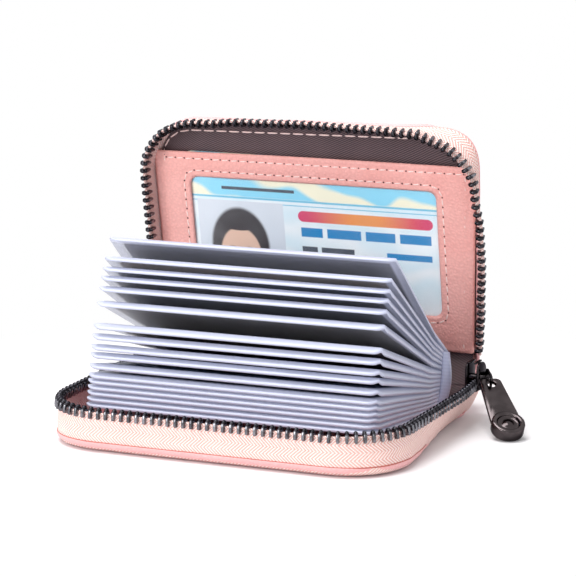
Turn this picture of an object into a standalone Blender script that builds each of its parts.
"""Zip-around accordion card wallet, standing open in an L.

The lower cover lies on the table and the upper cover stands up, leaning a little forward.
Seventeen clear sleeves fan out from a binding strip, each with a card in it. Metres, +Z up.
+X runs along the spine and -Y is the front. The origin is under the middle of the lower cover.

Each cover is modelled in its own frame: x along the spine, y from the fold to the free edge,
z into the wallet, counted from the fold axis. Turning that frame folds the cover.
"""

import math

import bmesh
import bpy
from mathutils import Matrix, Vector

# Standard cards, which the whole wallet is made round
CARD_LENGTH = 0.0856
CARD_WIDTH = 0.0540
CARD_CORNER = 0.0032
CARD_PLAY = 0.0002

# Outline of each cover, from the cards outwards
COVER_END_MARGIN = 0.0122
COVER_DEPTH_MARGIN = 0.0224
COVER_LENGTH = CARD_LENGTH + 2 * COVER_END_MARGIN
COVER_DEPTH = CARD_WIDTH + COVER_DEPTH_MARGIN
CORNER_RADIUS = 0.0207
CORNER_SEGMENTS = 9

# How the wallet stands open, in degrees from lying flat
SPINE_ANGLE = math.radians(35.9)
COVER_ANGLE = math.radians(100.8)
BINDING_TILT = math.radians(14.0)

# Sheets, from the outer face inwards
FOLD_AXIS_HEIGHT = 0.0012
LEATHER_THICKNESS = 0.0009
BOARD_THICKNESS = 0.0005
LINING_THICKNESS = 0.00025
PANEL_THICKNESS = 0.0006
WINDOW_THICKNESS = 0.00015
CARD_THICKNESS = 0.00076
SHEET_GAP = 0.0001
SEAT_GAP = 0.0003
CUT_OVERRUN = 0.002

# Rolled leather rim
RIM_HEIGHT = 0.0027
RIM_THICKNESS = 0.0010
RIM_ROUNDING = 0.0013

# Zip tape and teeth
TAPE_THICKNESS = 0.0006
TAPE_INSET = 0.0013
LOWER_TEETH_TOP = 0.0132
UPPER_TEETH_TOP = 0.0103
TEETH_ROW_HEIGHT = 0.0035
ROW_GAP = 0.0009
TOOTH_PITCH = 0.0024
TOOTH_WIDTH = 0.0011
TOOTH_THICKNESS = 0.0022
TOOTH_HEAD_HEIGHT = 0.0013
TOOTH_SHOULDER_HEIGHT = 0.0004
TOOTH_HEAD_WIDTH = 0.0009
TOOTH_HEAD_THICKNESS = 0.0014
BEAD_THICKNESS = 0.0010
ROW_START = 0.0010
UPPER_ROW_START = 0.0093
ZIP_TAIL = 0.0073
STOP_LENGTH = 0.0014
STOP_THICKNESS = 0.0024
STOP_WALL = 0.0006

# Spine
SPINE_END_INSET = 0.0045
LINING_SETBACK = 0.0008

# Pocket panels
PANEL_GAP_TO_TAPE = 0.0003
LOWER_PANEL_REAR = 0.0095
LOWER_PANEL_SETBACK = 0.0064
UPPER_PANEL_REAR = 0.0030
UPPER_PANEL_SETBACK = 0.0132
WINDOW_END_FRAME = 0.00355
WINDOW_DEPTH_FRAME = 0.0134
WINDOW_CENTRE_X = -0.0011
WINDOW_BOTTOM = 0.01435
WINDOW_CORNER = 0.0015
WINDOW_MARGIN = 0.0030
ID_CARD_BOTTOM = 0.0082

# Accordion pages
PAGE_LIFT_DEGREES = (6.1, 6.8, 7.6, 8.3, 9.1, 9.8, 11.6, 13.8, 15.2, 17.3, 19.4,
                     25.1, 28.6, 30.8, 32.6, 34.8, 40.1)
PAGE_PITCH = 0.00103
PAGE_THICKNESS = 0.00090
PAGE_SHIFT = 0.0003
PAGE_LIP = 0.0040
SIDE_WELD = 0.0010
REAR_WELD = 0.0010
FRONT_WELD = 0.0021
FILM_THICKNESS = 0.00005
PAGE_CORNER = 0.0019
ROOT_GAP = 0.0005

# Binding strip and its foot
BINDING_HINGE_REAR = 0.0020
BINDING_HINGE_HEIGHT = 0.0026
BINDING_THICKNESS = 0.0004
BINDING_GAP = 0.00015
FIRST_PAGE_HEIGHT = 0.00075
FOOT_REAR = 0.0024
FOOT_FRONT = 0.0090
FOOT_THICKNESS = 0.0004

# Slider
SLIDER_LENGTH = 0.0078
SLIDER_PLATE = 0.0008
SLIDER_LIP = 0.0006
SLIDER_CLEARANCE = 0.00025
SLIDER_BEHIND_FOLD = 0.0015
SLIDER_ROUNDING = 0.0009
TAPE_SLOT = 0.0013
DIAMOND_LENGTH = 0.0030
DIAMOND_THICKNESS = 0.0005
ARCH_RADIUS = 0.00265
ARCH_THICKNESS = 0.0009
ARCH_WIDTH = 0.0013
ARCH_SINK = 0.0003

# Link ring between the slider and the pull
LINK_WIRE = 0.0009
LINK_LENGTH = 0.0050
LINK_HALF_HEIGHT = 0.0025
LINK_CORNER = 0.0010
LINK_SEAT = 0.0007
LINK_HEADING = math.radians(-55.0)
LINK_SLOPE = math.radians(18.0)

# Pull tab
TAB_SLOPE = math.radians(25.8)
TAB_REACH = 0.01925
TAB_TOP_WIDTH = 0.0060
TAB_END_WIDTH = 0.0068
TAB_THICKNESS = 0.0012
TAB_EYE_RADIUS = 0.0015
TAB_EYE_OFFSET = 0.0004
TAB_EYE_WALL = 0.0008
TAB_TOP_ROUNDING = 0.0014
DISC_RADIUS = 0.0049
DISC_THICKNESS = 0.0038
DISC_EDGE = 0.0004
DISC_RIM_RADIUS = 0.0033
DISC_WELL_DEPTH = 0.0011
DISC_DOME_RADIUS = 0.0016
DISC_DOME_HEIGHT = 0.0006

# Heights that follow from the sheets
BOARD_LOW = LEATHER_THICKNESS + SHEET_GAP
LINING_LOW = BOARD_LOW + BOARD_THICKNESS + SHEET_GAP
LINING_TOP = LINING_LOW + LINING_THICKNESS
LOWER_PANEL_LOW = LINING_TOP + SHEET_GAP
ID_CARD_LOW = LINING_TOP + SHEET_GAP
WINDOW_LOW = ID_CARD_LOW + CARD_THICKNESS + SHEET_GAP
UPPER_PANEL_LOW = WINDOW_LOW + WINDOW_THICKNESS + SHEET_GAP

# Sizes that follow from the covers and the zip
SHUT_THICKNESS = LOWER_TEETH_TOP + ROW_GAP + UPPER_TEETH_TOP
SPINE_CHORD = SHUT_THICKNESS - 2 * FOLD_AXIS_HEIGHT
TAPE_LOW = LEATHER_THICKNESS + SEAT_GAP
TAPE_TO_TOP = TEETH_ROW_HEIGHT + SEAT_GAP
BEAD_TO_TOP = TOOTH_HEAD_HEIGHT + TOOTH_SHOULDER_HEIGHT
ROW_INSET = TAPE_INSET + TAPE_THICKNESS / 2
BOARD_INSET = TAPE_INSET + TAPE_THICKNESS + PANEL_GAP_TO_TAPE

# Sizes that follow from the cards
LOWER_PANEL_FRONT = COVER_DEPTH - LOWER_PANEL_SETBACK
UPPER_PANEL_TOP = COVER_DEPTH - UPPER_PANEL_SETBACK
WINDOW_LENGTH = CARD_LENGTH - 2 * WINDOW_END_FRAME
WINDOW_HEIGHT = CARD_WIDTH - WINDOW_DEPTH_FRAME
PAGE_LEFT_END = PAGE_SHIFT - CARD_LENGTH / 2 - PAGE_LIP
SLOT_LENGTH = CARD_LENGTH + PAGE_LIP + CARD_PLAY
SLOT_WIDTH = CARD_WIDTH + 2 * CARD_PLAY
PAGE_WIDTH = SLOT_LENGTH + SIDE_WELD
PAGE_DEPTH = REAR_WELD + SLOT_WIDTH + FRONT_WELD
PAGE_MIDDLE = PAGE_LEFT_END + PAGE_WIDTH / 2
BINDING_HEIGHT = FIRST_PAGE_HEIGHT + (len(PAGE_LIFT_DEGREES) - 1) * PAGE_PITCH + PAGE_THICKNESS / 2

PINK = (0.83, 0.36, 0.34)
PINK_TAPE = (0.90, 0.55, 0.50)
GUNMETAL = (0.10, 0.10, 0.105)


def clear_scene():
    for obj in list(bpy.data.objects):
        bpy.data.objects.remove(obj, do_unlink=True)


def finish(name, colour, roughness, metallic=0.0, alpha=1.0):
    material = bpy.data.materials.new(name)
    material.use_nodes = True
    shader = material.node_tree.nodes["Principled BSDF"]
    shader.inputs["Base Color"].default_value = (*colour, 1.0)
    shader.inputs["Roughness"].default_value = roughness
    shader.inputs["Metallic"].default_value = metallic
    shader.inputs["Alpha"].default_value = alpha
    material.diffuse_color = (*colour, alpha)
    return material


def frame(name, location, rotation=None, parent=None):
    """An empty that carries pieces: its origin lies on the axis that they turn about."""
    empty = bpy.data.objects.new(name, None)
    empty.empty_display_size = CORNER_RADIUS
    bpy.context.scene.collection.objects.link(empty)
    turn = rotation if rotation is not None else Matrix.Identity(3)
    empty.matrix_local = Matrix.Translation(location) @ turn.to_4x4()
    empty.parent = parent
    return empty


def piece(name, bm, material, carrier, smooth_angle=None):
    """Turns a mesh in its carrier's frame into a named object."""
    mesh = bpy.data.meshes.new(name)
    bm.to_mesh(mesh)
    bm.free()
    return place(name, mesh, material, carrier, smooth_angle)


def place(name, mesh, material, carrier, smooth_angle=None):
    obj = bpy.data.objects.new(name, mesh)
    bpy.context.scene.collection.objects.link(obj)
    obj.parent = carrier
    if not mesh.materials:
        mesh.materials.append(material)
    if smooth_angle is not None:
        mesh.shade_smooth()
        mesh.set_sharp_from_angle(angle=smooth_angle)
    return obj


def cutter(name, bm, carrier):
    """A hidden shape for a Boolean."""
    mesh = bpy.data.meshes.new(name)
    bm.to_mesh(mesh)
    bm.free()
    obj = bpy.data.objects.new(name, mesh)
    bpy.context.scene.collection.objects.link(obj)
    obj.parent = carrier
    obj.hide_render = True
    obj.display_type = "WIRE"
    return obj


def boolean(obj, other, operation):
    modifier = obj.modifiers.new(operation.title() + " " + other.name, "BOOLEAN")
    modifier.operation = operation
    modifier.solver = "EXACT"
    modifier.object = other


def block(low, high):
    """A box between two corners."""
    bm = bmesh.new()
    bmesh.ops.create_cube(bm, size=1.0)
    bmesh.ops.scale(bm, vec=Vector(high) - Vector(low), verts=bm.verts)
    bmesh.ops.translate(bm, vec=(Vector(high) + Vector(low)) / 2, verts=bm.verts)
    return bm


def runs_along(edge, axis):
    step = edge.verts[1].co - edge.verts[0].co
    return abs(step.normalized()[axis]) > 0.99


def middle_of(edge):
    return (edge.verts[0].co + edge.verts[1].co) / 2


def bevel(bm, edges, radius, segments):
    bmesh.ops.bevel(bm, geom=edges, offset=radius, segments=segments, profile=0.5,
                    affect="EDGES", clamp_overlap=True, material=-1)


def extrude(bm, faces):
    """Draws faces out into new ones, and returns the new geometry."""
    edges = list({edge for face in faces for edge in face.edges})
    return bmesh.ops.extrude_face_region(bm, geom=faces + edges)["geom"]


def round_upright(bm, radius, segments, front_only=False):
    """Rounds the edges that stand along z: all four, or the two at the largest y."""
    front = max(vert.co.y for vert in bm.verts)
    rear = min(vert.co.y for vert in bm.verts)
    middle = (front + rear) / 2
    edges = [edge for edge in bm.edges if runs_along(edge, 2)]
    if front_only:
        edges = [edge for edge in edges if middle_of(edge).y > middle]
    bevel(bm, edges, radius, segments)


def cover_block(inset, rear, bottom, top):
    """A slab with the cover's outline, drawn in by inset, between two heights in a cover."""
    half = COVER_LENGTH / 2 - inset
    low = (-half, rear, bottom - FOLD_AXIS_HEIGHT)
    high = (half, COVER_DEPTH - inset, top - FOLD_AXIS_HEIGHT)
    bm = block(low, high)
    round_upright(bm, CORNER_RADIUS - inset, CORNER_SEGMENTS, front_only=True)
    return bm


def trim_front(bm, limit):
    """Cuts a slab straight across at y = limit and closes the cut."""
    geometry = bm.verts[:] + bm.edges[:] + bm.faces[:]
    cut = bmesh.ops.bisect_plane(bm, geom=geometry, plane_co=(0, limit, 0), plane_no=(0, 1, 0),
                                 clear_outer=True)
    edges = [item for item in cut["geom_cut"] if isinstance(item, bmesh.types.BMEdge)]
    bmesh.ops.edgenet_fill(bm, edges=edges)
    bmesh.ops.recalc_face_normals(bm, faces=bm.faces)


def cover_leather(name, carrier, material):
    """The outer leather: a shallow tray whose rim is rolled up on three sides."""
    bm = cover_block(0, SHEET_GAP, 0, RIM_HEIGHT)
    lowest = min(vert.co.z for vert in bm.verts)
    middle = (lowest + max(vert.co.z for vert in bm.verts)) / 2
    rear = min(vert.co.y for vert in bm.verts)
    outer = [edge for edge in bm.edges if middle_of(edge).z < middle and not runs_along(edge, 2)]
    at_fold = [edge for edge in outer if max(vert.co.y for vert in edge.verts) <= rear]
    bevel(bm, [edge for edge in outer if edge not in at_fold], RIM_ROUNDING, 3)
    cover = piece(name, bm, material, carrier, math.radians(50))
    hollow = cover_block(RIM_THICKNESS, -CUT_OVERRUN, LEATHER_THICKNESS, RIM_HEIGHT + CUT_OVERRUN)
    boolean(cover, cutter(name + "_hollow", hollow, carrier), "DIFFERENCE")


def sheet(name, carrier, material, inset, rear, bottom, thickness, front=None):
    bm = cover_block(inset, rear, bottom, bottom + thickness)
    if front is not None:
        trim_front(bm, front)
    return piece(name, bm, material, carrier)


def zip_tape(name, carrier, material, teeth_top, rear_at_plus_x, rear_at_minus_x):
    """The woven tape: a thin upright wall round three sides of a cover."""
    bm = cover_block(TAPE_INSET, 0, TAPE_LOW, teeth_top - TAPE_TO_TOP)
    rear = min(vert.co.y for vert in bm.verts)
    flat = [face for face in bm.faces if abs(face.normal.z) > 0.5]
    back = [face for face in bm.faces if all(vert.co.y <= rear for vert in face.verts)]
    bmesh.ops.delete(bm, geom=flat + back, context="FACES")
    for vert in bm.verts:
        if vert.co.y <= rear:
            vert.co.y = rear_at_plus_x if vert.co.x > 0 else rear_at_minus_x
    bmesh.ops.recalc_face_normals(bm, faces=bm.faces)
    bmesh.ops.solidify(bm, geom=bm.faces[:], thickness=TAPE_THICKNESS)
    bmesh.ops.recalc_face_normals(bm, faces=bm.faces)
    piece(name, bm, material, carrier, math.radians(30))


def row_stretches(plus_start, minus_start):
    """Lengths of the row's five stretches: side, corner, front, corner, side."""
    radius = CORNER_RADIUS - ROW_INSET
    reach = COVER_DEPTH - ROW_INSET - radius
    corner = radius * math.pi / 2
    front = COVER_LENGTH - 2 * ROW_INSET - 2 * radius
    return [reach - plus_start, corner, front, corner, reach - minus_start]


def row_place(along, plus_start, minus_start):
    """The point of the teeth's path at a distance along it, and its outward direction."""
    radius = CORNER_RADIUS - ROW_INSET
    half = COVER_LENGTH / 2 - ROW_INSET
    reach = COVER_DEPTH - ROW_INSET - radius
    side, corner, front, second, last = row_stretches(plus_start, minus_start)
    if along <= side:
        return Vector((half, plus_start + along, 0)), Vector((1, 0, 0))
    along -= side
    if along <= corner:
        turn = along / radius
        outward = Vector((math.cos(turn), math.sin(turn), 0))
        return Vector((half - radius, reach, 0)) + radius * outward, outward
    along -= corner
    if along <= front:
        return Vector((half - radius - along, reach + radius, 0)), Vector((0, 1, 0))
    along -= front
    if along <= second:
        turn = math.pi / 2 + along / radius
        outward = Vector((math.cos(turn), math.sin(turn), 0))
        return Vector((radius - half, reach, 0)) + radius * outward, outward
    along -= second
    return Vector((-half, reach - along, 0)), Vector((-1, 0, 0))


def zip_teeth(name, carrier, material, teeth_top, plus_start, minus_start):
    """One row of teeth on its corded edge.

    The row is made straight: a bead with a step for each tooth, whose three outer faces are
    drawn out to a body that straddles the tape, and whose top is drawn out to a head. The
    straight row is then wrapped round the cover.
    """
    length = sum(row_stretches(plus_start, minus_start))
    count = int(length / TOOTH_PITCH)
    step = length / count
    half = BEAD_THICKNESS / 2
    bead_low = teeth_top - TEETH_ROW_HEIGHT
    bead_top = teeth_top - BEAD_TO_TOP
    bm = block((0, -half, bead_low), ((step - TOOTH_WIDTH) / 2, half, bead_top))
    for index in range(2 * count):
        end = max(bm.faces, key=lambda face: face.calc_center_median().x)
        grown = extrude(bm, [end])
        verts = [item for item in grown if isinstance(item, bmesh.types.BMVert)]
        last = index == 2 * count - 1
        gap = (step - TOOTH_WIDTH) / (2 if last else 1)
        move = TOOTH_WIDTH if index % 2 == 0 else gap
        bmesh.ops.translate(bm, vec=(move, 0, 0), verts=verts)

    def on_tooth(face):
        place_in_step = (face.calc_center_median().x / step) % 1.0
        return abs(place_in_step - 0.5) < TOOTH_WIDTH / step / 2

    bm.normal_update()
    body = [face for face in bm.faces
            if on_tooth(face) and abs(face.normal.x) < 0.5 and face.normal.z > -0.5]
    grown = extrude(bm, body)
    leg = (TOOTH_THICKNESS - BEAD_THICKNESS) / 2
    middle = (bead_low + bead_top) / 2
    for item in grown:
        if isinstance(item, bmesh.types.BMVert):
            item.co.y += math.copysign(leg, item.co.y)
            item.co.z += TOOTH_SHOULDER_HEIGHT if item.co.z > middle else 0
    bm.normal_update()
    shoulder = bead_top + TOOTH_SHOULDER_HEIGHT / 2
    tops = [face for face in bm.faces
            if face.normal.z > 0.5 and face.calc_center_median().z > shoulder]
    heads = bmesh.ops.extrude_discrete_faces(bm, faces=tops)["faces"]
    for head in heads:
        centre = head.calc_center_median()
        for vert in head.verts:
            vert.co.x = centre.x + (vert.co.x - centre.x) * TOOTH_HEAD_WIDTH / TOOTH_WIDTH
            vert.co.y = centre.y + (vert.co.y - centre.y) * TOOTH_HEAD_THICKNESS / TOOTH_THICKNESS
            vert.co.z += TOOTH_HEAD_HEIGHT
    for vert in bm.verts:
        spot, outward = row_place(vert.co.x, plus_start, minus_start)
        height = vert.co.z - FOLD_AXIS_HEIGHT
        vert.co = spot + outward * vert.co.y + Vector((0, 0, height))
    bmesh.ops.reverse_faces(bm, faces=bm.faces[:])
    piece(name, bm, material, carrier)


def zip_stop(name, carrier, material, teeth_top, side, rear):
    """A metal staple bent over the tape at the end of a row: side is +1 or -1 in x."""
    centre = side * (COVER_LENGTH / 2 - ROW_INSET)
    top = teeth_top - BEAD_TO_TOP - FOLD_AXIS_HEIGHT
    tape_top = teeth_top - TAPE_TO_TOP - FOLD_AXIS_HEIGHT
    low = (centre - STOP_THICKNESS / 2, rear, tape_top - STOP_THICKNESS / 2)
    high = (centre + STOP_THICKNESS / 2, rear + STOP_LENGTH, top)
    bm = block(low, high)
    bevel(bm, [edge for edge in bm.edges if runs_along(edge, 1) and middle_of(edge).z > 0],
          STOP_WALL, 2)
    stop = piece(name, bm, material, carrier, math.radians(40))
    inner = STOP_THICKNESS / 2 - STOP_WALL
    slot = block((centre - inner, rear - CUT_OVERRUN, low[2] - CUT_OVERRUN),
                 (centre + inner, rear + STOP_LENGTH + CUT_OVERRUN, top - STOP_WALL))
    boolean(stop, cutter(name + "_slot", slot, carrier), "DIFFERENCE")


def page_mesh():
    """A clear sleeve: a thin pouch, open at its left end, whose slot holds one card."""
    half = PAGE_THICKNESS / 2
    rear = -ROOT_GAP
    bm = block((PAGE_LEFT_END, rear - PAGE_DEPTH, -half), (PAGE_LEFT_END + PAGE_WIDTH, rear, half))
    middle = rear - PAGE_DEPTH / 2
    front = [edge for edge in bm.edges if runs_along(edge, 2) and middle_of(edge).y < middle]
    bevel(bm, front, PAGE_CORNER, 3)
    bm.normal_update()
    mouth = min(bm.faces, key=lambda face: face.calc_center_median().x)
    bmesh.ops.inset_region(bm, faces=[mouth], thickness=FILM_THICKNESS)
    for vert in mouth.verts:
        slot_rear = rear - REAR_WELD
        vert.co.y = slot_rear if vert.co.y > middle else slot_rear - SLOT_WIDTH
    bottom = bmesh.ops.extrude_discrete_faces(bm, faces=[mouth])["faces"][0]
    bmesh.ops.translate(bm, vec=(SLOT_LENGTH, 0, 0), verts=bottom.verts)
    bmesh.ops.recalc_face_normals(bm, faces=bm.faces)
    mesh = bpy.data.meshes.new("clear_sleeve")
    bm.to_mesh(mesh)
    bm.free()
    return mesh


def card_block(low_x, low_y, middle_z):
    low = (low_x, low_y, middle_z - CARD_THICKNESS / 2)
    high = (low_x + CARD_LENGTH, low_y + CARD_WIDTH, middle_z + CARD_THICKNESS / 2)
    bm = block(low, high)
    round_upright(bm, CARD_CORNER, 3)
    return bm


def slider_body(carrier, material):
    """The slider: two plates with lips, joined by a diamond, under an arch for the pull.

    In its frame x points out of the wallet, y along the zip towards the closing end and z
    across both rows of teeth.
    """
    half_rows = ROW_GAP / 2 + TEETH_ROW_HEIGHT + SLIDER_CLEARANCE
    half_height = half_rows + SLIDER_LIP
    channel = TOOTH_THICKNESS / 2 + SLIDER_CLEARANCE
    half_depth = channel + SLIDER_PLATE
    half_length = SLIDER_LENGTH / 2
    bm = block((-half_depth, -half_length, -half_height), (half_depth, half_length, half_height))
    bevel(bm, [edge for edge in bm.edges if runs_along(edge, 0)], SLIDER_ROUNDING * 2, 3)
    faces = [face for face in bm.faces if abs(face.normal.x) > 0.5]
    edges = list({edge for face in faces for edge in face.edges})
    bevel(bm, edges, SLIDER_ROUNDING / 3, 1)
    body = piece("slider_body", bm, material, carrier, math.radians(40))

    reach = half_length + CUT_OVERRUN
    rows = block((-channel, -reach, -half_rows), (channel, reach, half_rows))
    boolean(body, cutter("slider_channel", rows, carrier), "DIFFERENCE")
    slot = TAPE_SLOT / 2
    tape = block((-slot, -reach, -half_height - CUT_OVERRUN), (slot, reach, half_height + CUT_OVERRUN))
    boolean(body, cutter("slider_tape_slot", tape, carrier), "DIFFERENCE")

    diamond = DIAMOND_THICKNESS / 2
    nose = half_length - SLIDER_ROUNDING
    web = block((-half_depth + SLIDER_PLATE / 2, nose - DIAMOND_LENGTH, -diamond),
                (half_depth - SLIDER_PLATE / 2, nose, diamond))
    bevel(web, [edge for edge in web.edges if runs_along(edge, 0)], diamond / 2, 1)
    boolean(body, cutter("slider_diamond", web, carrier), "UNION")

    arch = bmesh.new()
    bmesh.ops.create_grid(arch, x_segments=1, y_segments=1, size=0.5)
    bmesh.ops.scale(arch, vec=(ARCH_THICKNESS, ARCH_WIDTH, 1), verts=arch.verts)
    bmesh.ops.rotate(arch, cent=(0, 0, 0), matrix=Matrix.Rotation(math.pi / 2, 3, "X"), verts=arch.verts)
    bmesh.ops.rotate(arch, cent=(0, 0, 0), matrix=Matrix.Rotation(math.pi / 2, 3, "Z"), verts=arch.verts)
    bmesh.ops.translate(arch, vec=(0, ARCH_RADIUS, 0), verts=arch.verts)
    bmesh.ops.spin(arch, geom=arch.verts[:] + arch.edges[:] + arch.faces[:], cent=(0, 0, 0),
                   axis=(0, 0, 1), angle=-math.pi, steps=12)
    bmesh.ops.remove_doubles(arch, verts=arch.verts, dist=ARCH_THICKNESS / 100)
    bmesh.ops.translate(arch, vec=(half_depth - ARCH_SINK, 0, 0), verts=arch.verts)
    bmesh.ops.recalc_face_normals(arch, faces=arch.faces)
    boolean(body, cutter("slider_arch", arch, carrier), "UNION")
    return half_depth


def link_ring(carrier, material):
    """The wire ring that joins the slider's arch to the pull tab.

    In its frame x points from the arch to the tab and z is up. The ring lies in the x-z plane.
    """
    curve = bpy.data.curves.new("pull_link", "CURVE")
    curve.dimensions = "3D"
    curve.bevel_depth = LINK_WIRE / 2
    curve.bevel_resolution = 1
    corners = ((0, -1), (LINK_LENGTH, -1), (LINK_LENGTH, 1), (0, 1))
    points = []
    for number, (x, side) in enumerate(corners):
        inward = 1 if x == 0 else -1
        centre_x = x + inward * LINK_CORNER
        centre_z = side * (LINK_HALF_HEIGHT - LINK_CORNER)
        for index in range(4):
            turn = math.pi + number * math.pi / 2 + index * math.pi / 6
            points.append((centre_x + LINK_CORNER * math.cos(turn),
                           centre_z + LINK_CORNER * math.sin(turn)))
    spline = curve.splines.new("POLY")
    spline.points.add(len(points) - 1)
    for point, (x, z) in zip(spline.points, points):
        point.co = (x, 0, z, 1)
    spline.use_cyclic_u = True
    ring = bpy.data.objects.new("pull_link", curve)
    bpy.context.scene.collection.objects.link(ring)
    ring.parent = carrier
    curve.materials.append(material)


def pull_tab(carrier, material):
    """The pull: a flat strap with an eye, widening to a thick disc with a dished face.

    In its frame x runs from the eye to the disc, y across and z out of the shown face.
    """
    half = TAB_THICKNESS / 2
    top = TAB_EYE_OFFSET - TAB_EYE_RADIUS - TAB_EYE_WALL
    bm = block((top, -TAB_TOP_WIDTH / 2, -half), (TAB_REACH, TAB_TOP_WIDTH / 2, half))
    for vert in bm.verts:
        if vert.co.x > 0:
            vert.co.y *= TAB_END_WIDTH / TAB_TOP_WIDTH
    ends = [edge for edge in bm.edges if runs_along(edge, 2) and middle_of(edge).x < 0]
    bevel(bm, ends, TAB_TOP_ROUNDING, 4)
    tab = piece("pull_tab", bm, material, carrier, math.radians(35))

    low = -DISC_THICKNESS / 2
    high = DISC_THICKNESS / 2
    well = high - DISC_WELL_DEPTH
    profile = [(0, low), (DISC_RADIUS - DISC_EDGE, low), (DISC_RADIUS, low + DISC_EDGE),
               (DISC_RADIUS, high - DISC_EDGE), (DISC_RADIUS - DISC_EDGE, high),
               (DISC_RIM_RADIUS, high), (DISC_RIM_RADIUS - DISC_EDGE, well),
               (DISC_DOME_RADIUS, well), (DISC_DOME_RADIUS / 2, well + DISC_DOME_HEIGHT * 0.8),
               (0, well + DISC_DOME_HEIGHT)]
    disc = bmesh.new()
    verts = [disc.verts.new((radius, 0, height)) for radius, height in profile]
    edges = [disc.edges.new(pair) for pair in zip(verts, verts[1:])]
    bmesh.ops.spin(disc, geom=verts + edges, cent=(0, 0, 0), axis=(0, 0, 1),
                   angle=2 * math.pi, steps=24, use_merge=True)
    bmesh.ops.remove_doubles(disc, verts=disc.verts, dist=DISC_EDGE / 100)
    bmesh.ops.recalc_face_normals(disc, faces=disc.faces)
    bmesh.ops.translate(disc, vec=(TAB_REACH, 0, 0), verts=disc.verts)
    clear = bmesh.new()
    bmesh.ops.create_cone(clear, cap_ends=True, segments=24, radius1=DISC_RADIUS - DISC_EDGE,
                          radius2=DISC_RADIUS - DISC_EDGE, depth=DISC_THICKNESS)
    bmesh.ops.translate(clear, vec=(TAB_REACH, 0, 0), verts=clear.verts)
    boolean(tab, cutter("pull_disc_seat", clear, carrier), "DIFFERENCE")
    boolean(tab, cutter("pull_disc", disc, carrier), "UNION")

    eye = bmesh.new()
    bmesh.ops.create_cone(eye, cap_ends=True, segments=16, radius1=TAB_EYE_RADIUS,
                          radius2=TAB_EYE_RADIUS, depth=DISC_THICKNESS)
    bmesh.ops.translate(eye, vec=(TAB_EYE_OFFSET, 0, 0), verts=eye.verts)
    boolean(tab, cutter("pull_eye", eye, carrier), "DIFFERENCE")


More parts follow.
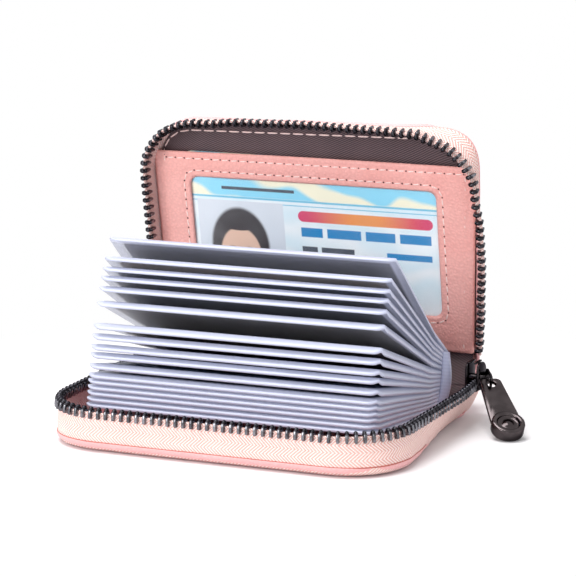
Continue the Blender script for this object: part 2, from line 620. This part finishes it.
def main():
    clear_scene()
    pink = finish("pink_leather", PINK, 0.5)
    tape_cloth = finish("pink_tape", PINK_TAPE, 0.85)
    board = finish("grey_board", (0.35, 0.33, 0.30), 0.9)
    twill = finish("dark_twill", (0.065, 0.035, 0.036), 0.8)
    film = finish("clear_film", (0.86, 0.88, 0.94), 0.2, alpha=0.5)
    metal = finish("gunmetal", GUNMETAL, 0.3, 1.0)
    plastic = finish("card_plastic", (0.42, 0.43, 0.47), 0.35)

    fold = Vector((0, COVER_DEPTH / 2, FOLD_AXIS_HEIGHT))
    lower = frame("lower_cover_frame", fold, Matrix.Rotation(math.pi, 3, "Z"))
    spine = frame("spine_frame", fold, Matrix.Rotation(SPINE_ANGLE, 3, "X"))
    upper_fold = fold + SPINE_CHORD * Vector((0, math.cos(SPINE_ANGLE), math.sin(SPINE_ANGLE)))
    upper = frame("upper_cover_frame", upper_fold, Matrix.Rotation(COVER_ANGLE, 3, "X"))

    for side, carrier in (("lower", lower), ("upper", upper)):
        cover_leather(side + "_cover_leather", carrier, pink)
        sheet(side + "_cover_board", carrier, board, BOARD_INSET, LINING_SETBACK, BOARD_LOW,
              BOARD_THICKNESS)
        sheet(side + "_cover_lining", carrier, twill, BOARD_INSET, LINING_SETBACK, LINING_LOW,
              LINING_THICKNESS)

    half_spine = COVER_LENGTH / 2 - SPINE_END_INSET
    layers = (("spine_leather", pink, SHEET_GAP, 0, LEATHER_THICKNESS),
              ("spine_board", board, LINING_SETBACK, BOARD_LOW, BOARD_THICKNESS),
              ("spine_lining", twill, LINING_SETBACK, LINING_LOW, LINING_THICKNESS))
    for name, material, setback, bottom, thickness in layers:
        low = (-half_spine, setback, bottom - FOLD_AXIS_HEIGHT)
        high = (half_spine, SPINE_CHORD - setback, bottom + thickness - FOLD_AXIS_HEIGHT)
        piece(name, block(low, high), material, spine)

    sheet("lower_pocket_panel", lower, pink, BOARD_INSET, LOWER_PANEL_REAR, LOWER_PANEL_LOW,
          PANEL_THICKNESS, LOWER_PANEL_FRONT)
    panel = sheet("upper_pocket_panel", upper, pink, BOARD_INSET, UPPER_PANEL_REAR,
                  UPPER_PANEL_LOW, PANEL_THICKNESS, UPPER_PANEL_TOP)
    left = WINDOW_CENTRE_X - WINDOW_LENGTH / 2
    right = WINDOW_CENTRE_X + WINDOW_LENGTH / 2
    window_top = WINDOW_BOTTOM + WINDOW_HEIGHT
    panel_low = UPPER_PANEL_LOW - FOLD_AXIS_HEIGHT
    opening = block((left, WINDOW_BOTTOM, panel_low - CUT_OVERRUN),
                    (right, window_top, panel_low + PANEL_THICKNESS + CUT_OVERRUN))
    round_upright(opening, WINDOW_CORNER, 4)
    boolean(panel, cutter("window_opening", opening, upper), "DIFFERENCE")
    glass_low = WINDOW_LOW - FOLD_AXIS_HEIGHT
    pane = block((left - WINDOW_MARGIN, WINDOW_BOTTOM - WINDOW_MARGIN, glass_low),
                 (right + WINDOW_MARGIN, window_top + WINDOW_MARGIN, glass_low + WINDOW_THICKNESS))
    piece("id_window", pane, film, upper)
    id_middle = ID_CARD_LOW + CARD_THICKNESS / 2 - FOLD_AXIS_HEIGHT
    id_card = card_block(WINDOW_CENTRE_X - CARD_LENGTH / 2, ID_CARD_BOTTOM, id_middle)
    piece("id_card", id_card, plastic, upper)

    tail_start = STOP_LENGTH + 2 * SEAT_GAP - ZIP_TAIL
    row_end = ROW_START + STOP_LENGTH + SEAT_GAP
    low = LOWER_TEETH_TOP
    high = UPPER_TEETH_TOP
    zip_tape("lower_zip_tape", lower, tape_cloth, low, ROW_START, -ZIP_TAIL)
    zip_tape("upper_zip_tape", upper, tape_cloth, high, UPPER_ROW_START, ROW_START)
    zip_teeth("lower_zip_teeth", lower, metal, low, row_end, tail_start)
    zip_teeth("upper_zip_teeth", upper, metal, high, UPPER_ROW_START, row_end)
    zip_stop("zip_bottom_stop", lower, metal, low, -1, -ZIP_TAIL + SEAT_GAP)
    zip_stop("lower_top_stop", lower, metal, low, 1, ROW_START)
    zip_stop("upper_top_stop", upper, metal, high, -1, ROW_START)

    foot_low = LINING_TOP + SHEET_GAP - FOLD_AXIS_HEIGHT
    page_right_end = PAGE_LEFT_END + PAGE_WIDTH
    foot = block((-page_right_end, FOOT_REAR, foot_low),
                 (-PAGE_LEFT_END, FOOT_FRONT, foot_low + FOOT_THICKNESS))
    piece("binding_foot", foot, film, lower)
    hinge = Vector((0, COVER_DEPTH / 2 - BINDING_HINGE_REAR, BINDING_HINGE_HEIGHT))
    binding = frame("binding_frame", hinge, Matrix.Rotation(-BINDING_TILT, 3, "X"))
    strip = block((PAGE_LEFT_END, BINDING_GAP, SHEET_GAP),
                  (page_right_end, BINDING_GAP + BINDING_THICKNESS, BINDING_HEIGHT))
    piece("accordion_binding", strip, film, binding)

    sleeve = page_mesh()
    card_mesh = bpy.data.meshes.new("plastic_card")
    card = card_block(PAGE_LEFT_END + PAGE_LIP, -ROOT_GAP - REAR_WELD - CARD_PLAY - CARD_WIDTH, 0)
    card.to_mesh(card_mesh)
    card.free()
    for index, lift in enumerate(PAGE_LIFT_DEGREES):
        number = index + 1
        height = FIRST_PAGE_HEIGHT + index * PAGE_PITCH
        turn = Matrix.Rotation(BINDING_TILT - math.radians(lift), 3, "X")
        page = frame(f"page_{number:02d}_frame", Vector((0, 0, height)), turn, binding)
        place(f"sleeve_{number:02d}", sleeve, film, page)
        place(f"card_{number:02d}", card_mesh, plastic, page)

    rows_middle = LOWER_TEETH_TOP + ROW_GAP / 2
    slider_spot = Vector((COVER_LENGTH / 2 - ROW_INSET, COVER_DEPTH / 2 + SLIDER_BEHIND_FOLD, rows_middle))
    slider = frame("slider_frame", slider_spot, Matrix.Rotation(math.pi, 3, "X"))
    half_depth = slider_body(slider, metal)
    link_spot = slider_spot + Vector((half_depth + LINK_SEAT + LINK_WIRE / 2, 0, 0))
    level = Matrix.Rotation(LINK_HEADING, 3, "Z")
    link = frame("link_frame", link_spot, level @ Matrix.Rotation(LINK_SLOPE, 3, "Y"))
    link_ring(link, metal)
    tab_spot = Vector((LINK_LENGTH, 0, 0))
    tab = frame("tab_frame", tab_spot, Matrix.Rotation(TAB_SLOPE - LINK_SLOPE, 3, "Y"), link)
    pull_tab(tab, metal)


main()
